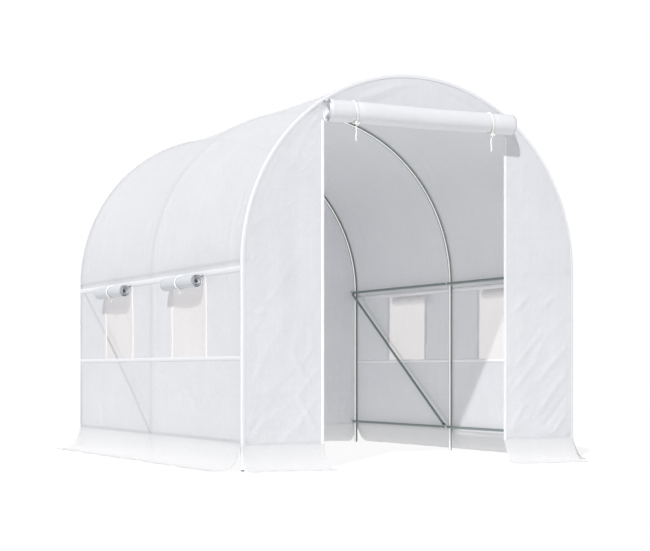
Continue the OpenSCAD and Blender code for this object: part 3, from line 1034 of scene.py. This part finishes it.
@dataclass
class Roll:
    """A sheet that is wound up beside a wall. p is the distance out from its axis and q the height."""

    centre: tuple
    along: tuple
    outward: tuple
    radius: float
    lead_q: float  # height at which the sheet leaves the wall
    start: float  # angle at which it meets the roll, in degrees
    pitch: float  # from one layer to the next
    width: float
    cut: float  # length of the sheet
    ties: tuple
    loose: tuple  # how far the lower half hangs loose at each end
    thickness: float
    columns: int
    seed: float

    def pinch(self, s):
        """How much a tie narrows the roll at s, as a factor."""
        factor = np.ones_like(s)
        for tie in self.ties:
            factor = factor - TIE_PINCH * np.exp(-((s - tie) / (0.35 * self.radius)) ** 2)
        return factor

    def sag(self, s):
        """How far the roll hangs down between and beyond its ties."""
        nearest = np.min([np.abs(s - tie) for tie in self.ties], axis=0)
        return -ROLL_SAG * self.radius * np.clip(nearest / (self.width / 2), 0, 1) ** 1.5

    def dents(self, angle, s):
        """Shallow dents, and the loose lower half of the roll, as a factor."""
        loose = np.interp(s, (-self.width / 2, self.width / 2), self.loose)
        p, q = np.cos(angle), np.sin(angle)
        hang = np.where(q > 0, -0.4, -1.0) * q * loose
        return 1 + hang + 0.035 * field(p * 0.9 + self.seed, q * 0.9 + s * 5, self.seed)

    def ring(self, angle, s, out=0.0):
        """A point on the outside of the roll."""
        r = self.radius * self.pinch(s) * self.dents(angle, s) + out
        return self.at(s, r * np.cos(angle), r * np.sin(angle) + self.sag(s))

    def at(self, s, p, q):
        s, p, q = (c[..., None] for c in np.broadcast_arrays(s, p, q))
        return np.asarray(self.centre) + s * self.along + p * self.outward + q * (0, 0, 1)

    def profile(self):
        """The sheet's path, seen from its end: angle, winding radius and length of sheet so far."""
        step = math.radians(8)
        start = math.radians(self.start)
        run = math.hypot(self.radius * (math.cos(start) + 1), self.radius * math.sin(start) - self.lead_q)
        lead_length = run
        turned, path = 0.0, []
        while run < self.cut:
            r = self.radius - self.pitch * turned / (2 * math.pi)
            path.append((start - turned, r, run))
            run += r * step
            turned += step
        return lead_length, np.asarray(path)

    def sheet(self, name, material, node, rests_on):
        """Makes the rolled piece in place of a node of the frame."""
        lead_length, path = self.profile()
        s = np.linspace(-self.width / 2, self.width / 2, self.columns)[None]
        angle, r, run = (path[:, i, None] for i in range(3))
        layer = (run - lead_length) / (2 * math.pi * self.radius)
        shift = s * (1 + 0.006 * np.sin(layer * 2.1 + self.seed)) + 0.0011 * np.sin(layer * 4 + self.seed)
        radial = r * self.pinch(s) * self.dents(angle, s)
        wound = self.at(shift, radial * np.cos(angle), radial * np.sin(angle) + self.sag(s))
        wall = self.at(s[0], -self.radius - PROUD, self.lead_q)
        share = np.linspace(0, 1, 6)[:-1, None, None]
        lead = wall[None] * (1 - share) + wound[:1] * share
        lead[..., 2] += (np.sin(math.pi * share) * 0.05 * self.radius)[..., 0]
        points = np.concatenate([lead, wound])
        lead_run = np.linspace(0, lead_length, 6)[:-1]
        flat_run = np.concatenate([lead_run, run[:, 0]])[:, None]
        flat = np.stack(np.broadcast_arrays(s, flat_run), -1)
        obj = sheet_piece(name, points, flat, material, "rolled_cloth")
        thicken(obj, self.thickness, 0.0)
        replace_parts(obj, node)
        turns = (path[0, 0] - path[-1, 0]) / (2 * math.pi)
        print(name, "winds", round(turns, 1), "turns of", round(float(flat_run[-1, 0]), 3), "m")


ROLL_FIT = 0.985
FLAP_LENGTH = 0.45
flap_width = centre_and_size("window_roll_front_left")[1][1]
door_centre, door_size = centre_and_size("door_roll")
door_roll = Roll(centre=door_centre, along=(1, 0, 0), outward=(0, -1, 0),
                 radius=door_size[2] / 2 * ROLL_FIT, lead_q=0.048, start=118, pitch=0.0048,
                 width=door_size[0], cut=DOOR_TOP, ties=[knot.x for knot in door_knots.values()],
                 loose=(0.27, 0.12), thickness=0.0011, columns=104, seed=101.0)
door_roll.sheet("rolled_door", door_cloth, "door_roll", "front_sheet")
window_rolls = {}
for side_name, side in SIDES.items():
    for place in windows:
        tag = place + "_" + side_name
        centre, size = centre_and_size("window_roll_" + tag)
        roll = Roll(centre=centre, along=(0, 1, 0), outward=(side, 0, 0), radius=size[2] / 2 * ROLL_FIT,
                    lead_q=0.031, start=128, pitch=0.0085, width=flap_width, cut=FLAP_LENGTH,
                    ties=[0.0], loose=(0.05, 0.05), thickness=0.0026, columns=40,
                    seed=110.0 + side + len(window_rolls) * 3)  # a seed of its own for each flap
        roll.sheet("rolled_flap_" + tag, flap_cloth, "window_roll_" + tag, "canopy")
        window_rolls[tag] = roll

# %% [markdown]
# A tie is one cord: sewn to the wall above the roll, drawn over it, and knotted underneath with the end
# that comes from behind. The knot is a true overhand knot, because its curve has a formula, the trefoil,
# and a ball would look like a bead.


# %% Tie the rolls
TIE_OVER = (122, -62)  # degrees round the roll, from the wall over its top
TIE_UNDER = (-96, -150)  # and from the knot back to the wall


def trefoil(size):
    """The closed curve of an overhand knot, as points round its centre."""
    t = np.linspace(0, 2 * math.pi, 64)
    a = (np.sin(t) + 2 * np.sin(2 * t)) / 3
    b = (np.cos(t) - 2 * np.cos(2 * t)) / 3
    return np.stack([a * size / 2, -np.sin(3 * t) * size * 0.16, b * size / 2], -1)


def tie(name, roll, s, knot_p, knot_q, cord_d, knot_size, node, slant=0.0, tail=0.0):
    """slant is how far its upper half lies to one side of the knot."""
    half = cord_d / 2
    front = np.radians(np.linspace(*TIE_OVER, 34))
    aside = s - slant * np.clip(np.linspace(2.6, 0, 34), 0, 1)
    points = roll.ring(front, aside, half * 0.9)
    start = roll.at(s - slant, -roll.radius + half, roll.radius + half * 1.4)
    knot = roll.at(s, knot_p, knot_q)
    over = np.concatenate([[start], points, [knot * 0.4 + points[-1] * 0.6, knot]])
    back = roll.ring(np.radians(np.linspace(*TIE_UNDER, 10)), s, half * 0.9)
    loop = trefoil(knot_size)
    if roll.outward[0]:
        loop = loop[:, (1, 0, 2)]
    parts = [tube_mesh(over, half), tube_mesh(np.concatenate([[knot], back]), half),
             tube_mesh(knot + loop, half * 0.82)]
    if tail:
        sway = np.linspace(0, 1, 8)
        drop = knot + np.stack([0 * sway, 0.004 * np.sin(sway * 3), -0.25 * knot_size - sway * tail], -1)
        parts.append(tube_mesh(drop, [half * 0.8] * 7 + [half * 0.5]))
    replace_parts(new_piece(name, *joined(*parts), cord_yarn, "tie_cord"), node)
    print(name, "with a knot", round(knot_size * 1000), "mm across")


DOOR_KNOT = 0.021
KNOT_FORWARD = 0.013
for side_name, knot in door_knots.items():
    p = KNOT_FORWARD - (knot.y - door_centre[1])
    tie("door_tie_cord_" + side_name, door_roll, knot.x, p, knot.z - door_centre[2], CORD_D, DOOR_KNOT,
        "door_tie_" + side_name, slant=0.016)

FLAP_CORD_D = 0.0085
FLAP_KNOT = 0.013
for tag, roll in window_rolls.items():
    tie("flap_tie_" + tag, roll, 0.0, 0.004, -roll.radius - 0.003, FLAP_CORD_D, FLAP_KNOT,
        "window_ties_" + tag.split("_")[1], tail=0.020)

# %% [markdown]
# The doorway closes with two zips, so both of its upright edges are bound with webbing and carry a coil.
# From outside they look like bright ribbons. The coil is a row of small ribs, worth making as geometry,
# because it catches the light as a fine dotted line.

# %% Bind the doorway
DOOR_TAPE_W = 0.016
COIL_PITCH = 0.004
COIL_W = 0.0042
COIL_R = 0.0008
door_z = lines([SEAM_Z - 0.004, DOOR_TOP + 0.012], 0.02)
for side_name, side in SIDES.items():
    wave = field(door_z * 4, side * 1.0, 130.0) * 0.0012
    x = side * (DOOR_HALF + DOOR_TAPE_W / 2 - 0.001) + wave
    for face_name, face in (("outer", -1), ("inner", 1)):
        path = np.stack([x, np.full_like(x, -HALF_L + face * 0.0006), door_z], -1)
        sweep("door_edge_" + face_name + "_" + side_name, path, (-face, 0, 0), (0, face, 0),
              strip_section(DOOR_TAPE_W, TAPE_T), painted_bright_tape, "skirt_cloth")
    coil = []
    for z in np.arange(SEAM_Z + 0.01, DOOR_TOP - 0.004, COIL_PITCH):
        lean = float(np.interp(z, door_z, wave))
        middle = (side * (DOOR_HALF + 0.0015) + lean, -HALF_L - 0.0026, z)
        bend = np.linspace(-1, 1, 4)
        rib = np.stack([bend * COIL_W / 2, 0.0009 * bend ** 2, bend * COIL_PITCH * 0.2], -1) + middle
        coil.append(tube_mesh(rib, COIL_R, 5))
    new_piece("zip_coil_" + side_name, *joined(*coil), tape_cloth, "skirt_cloth")
    print("door edge", side_name, "with", len(coil), "zip ribs")

# %% [markdown]
# The steel pieces keep their shape from the frame and only need their finish. What holds them together was
# left out of the frame: a bolt with a washer and a wing nut at each crossing of a hoop and a rail, and a
# small bolt where the arch plugs on to the leg and at the crown. Each is a few turned and drawn shapes.

# %% Finish the steel and bolt it together
steel_nodes = [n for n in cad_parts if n.startswith(("hoop_", "waist_", "base_", "brace_"))]
for node_name in steel_nodes:
    node_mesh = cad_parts[node_name].data
    finish = hoop_steel if node_name.startswith("hoop_") else rail_steel
    if not node_mesh.materials:
        node_mesh.materials.append(finish)
    for slot_number in range(len(node_mesh.materials)):
        node_mesh.materials[slot_number] = finish
print(len(steel_nodes), "steel pieces finished")


def axes_from(direction):
    """Two directions square to the given one, which doesn't run along y."""
    side = unit(np.cross(direction, (0, 1.0, 0)))
    return side, np.cross(direction, side)


def turned(place, direction, profile, sides=16):
    """A turned shape: a profile of (height, radius) spun round a direction, closed at both ends."""
    side, other = axes_from(direction)
    height, radius = np.transpose(profile)
    path = np.outer(height, direction) + place
    return sweep_mesh(path, np.outer(radius, side), np.outer(radius, other), circle(sides))


def wings(place, direction, turn_by, size=0.011):
    """The two ears of a wing nut, as short bent tubes."""
    side, other = axes_from(direction)
    lean = side * math.cos(turn_by) + other * math.sin(turn_by)
    parts = []
    for sign in (-1, 1):
        reach = np.linspace(0, 1, 7)[:, None]
        path = (np.asarray(place) + sign * lean * (0.003 + reach * size)
                + np.asarray(direction) * (0.001 + 0.006 * reach ** 1.5))
        parts.append(tube_mesh(path, [0.0016, 0.0019, 0.0022, 0.0025, 0.0026, 0.0023, 0.0012], 8))
    return parts


def wing_bolt(name, place, direction, turn_by):
    """A washer, a nut with two wings and the end of the bolt, standing on a tube."""
    washer = [(0.0, 0.0070), (0.0012, 0.0070), (0.0012, 0.0068)]
    body = [(0.0012, 0.0050), (0.0048, 0.0044), (0.0058, 0.0030)]
    shank = [(0.0050, 0.0024), (0.0098, 0.0024), (0.0104, 0.0018)]
    parts = [turned(place, direction, profile) for profile in (washer, body, shank)]
    parts += wings(np.asarray(place) + np.asarray(direction) * 0.002, direction, turn_by)
    return new_piece(name, *joined(*parts), bolt_steel, "steel_tube", 40)


def button_bolt(name, place, direction):
    """A low round bolt head."""
    head = [(0.0, 0.0052), (0.0010, 0.0051), (0.0022, 0.0040), (0.0028, 0.0020)]
    return new_piece(name, *turned(place, direction, head), bolt_steel, "steel_tube", 40)


LUG_T = 0.0024
ARCH_BOLT_UP = 0.034
CROWN_BOLT_OUT = 0.032
bolts = 0
for side_name, side in SIDES.items():
    waist_low, waist_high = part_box("waist_rail_" + side_name)
    base_low, base_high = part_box("base_rail_" + side_name)
    brace_low, brace_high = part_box("brace_" + side_name)
    rail_inner = min(abs(waist_low.x), abs(waist_high.x))
    brace_outer = max(abs(brace_low.x), abs(brace_high.x))
    lug_inner = brace_outer - LUG_T
    for place, y in HOOPS.items():
        for rail_name, low, high in (("waist", waist_low, waist_high), ("base", base_low, base_high)):
            on_brace = (place, rail_name) in (("rear", "waist"), ("middle", "base"))
            stand = lug_inner if on_brace else rail_inner
            spot = (side * stand, y, (low.z + high.z) / 2)
            wing_bolt("wing_bolt_" + rail_name + "_" + place + "_" + side_name, spot, (-side, 0, 0),
                      0.1 + 0.18 * (bolts % 3))
            bolts += 1
        button_bolt("arch_bolt_" + place + "_" + side_name,
                    (side * (HOOP_X - TUBE_R + 0.0003), y, SPRING + ARCH_BOLT_UP), (-side, 0, 0))
        button_bolt("crown_bolt_" + place + "_" + side_name,
                    (side * CROWN_BOLT_OUT, y, SPRING + HOOP_X - TUBE_R + 0.0008), (0, 0, -1))
        bolts += 2
print(bolts, "bolts")

# %% [markdown]
# The set is a plain white floor under a bright, even sky, with two suns. The floor gives back some light of
# its own, as a lit studio cove does, so no horizon shows. The strong sun from the front left models the
# sheet: it rakes the front, draws the shadows of the rolls and throws a bright patch inside. The weak and
# soft one from the left only lifts the long wall.


# %% Light the set
def sun(name, travel, strength, angle):
    lamp = bpy.data.lights.new(name, "SUN")
    lamp.energy = strength
    lamp.angle = math.radians(angle)
    added(name, lamp).rotation_euler = Vector(travel).to_track_quat("-Z", "Y").to_euler()


sun("sun_front", (0.90, 1.0, -1.29), 2.95, 1.5)
sun("sun_left", (1.0, 0.05, -1.10), 0.35, 6)
world = bpy.data.worlds.new("sky")
world.use_nodes = True
world.node_tree.nodes.clear()
white = {"Color": (1, 1, 1, 1)}
light_sky = Look.place(world.node_tree, "Background", None, {**white, "Strength": 0.25})
seen_sky = Look.place(world.node_tree, "Background", None, {**white, "Strength": 1.0})
seen = (Look.place(world.node_tree, "LightPath", output="Is Camera Ray")
        + Look.place(world.node_tree, "LightPath", output="Is Glossy Ray"))
sky = Look.place(world.node_tree, "MixShader", None, {0: seen, 1: light_sky, 2: seen_sky})
world.node_tree.links.new(sky.socket, world.node_tree.nodes.new("ShaderNodeOutputWorld").inputs[0])
bpy.context.scene.world = world

FLOOR_GLOW = 0.88
floor_look = Look("white floor")
grain = floor_look.clouds(floor_look.place_on()[3], 3.0)
paint = floor_look.node("BsdfPrincipled", None, {
    "Base Color": floor_look.colours(grain, (0.13, 0.13, 0.13), (0.15, 0.15, 0.15)),
    "Roughness": 0.9,
    "Specular IOR Level": 0.0,
    "Emission Color": (1, 1, 1, 1),
    "Emission Strength": FLOOR_GLOW,
})
FLOOR = 60.0
floor_mesh = bpy.data.meshes.new("floor")
floor_mesh.from_pydata([(-FLOOR, -FLOOR, 0), (FLOOR, -FLOOR, 0), (FLOOR, FLOOR, 0), (-FLOOR, FLOOR, 0)],
                       [], [(0, 1, 2, 3)])
floor_mesh.materials.append(floor_look.finish(paint))
added("floor", floor_mesh)
print("set lit by 2 suns and a white sky")
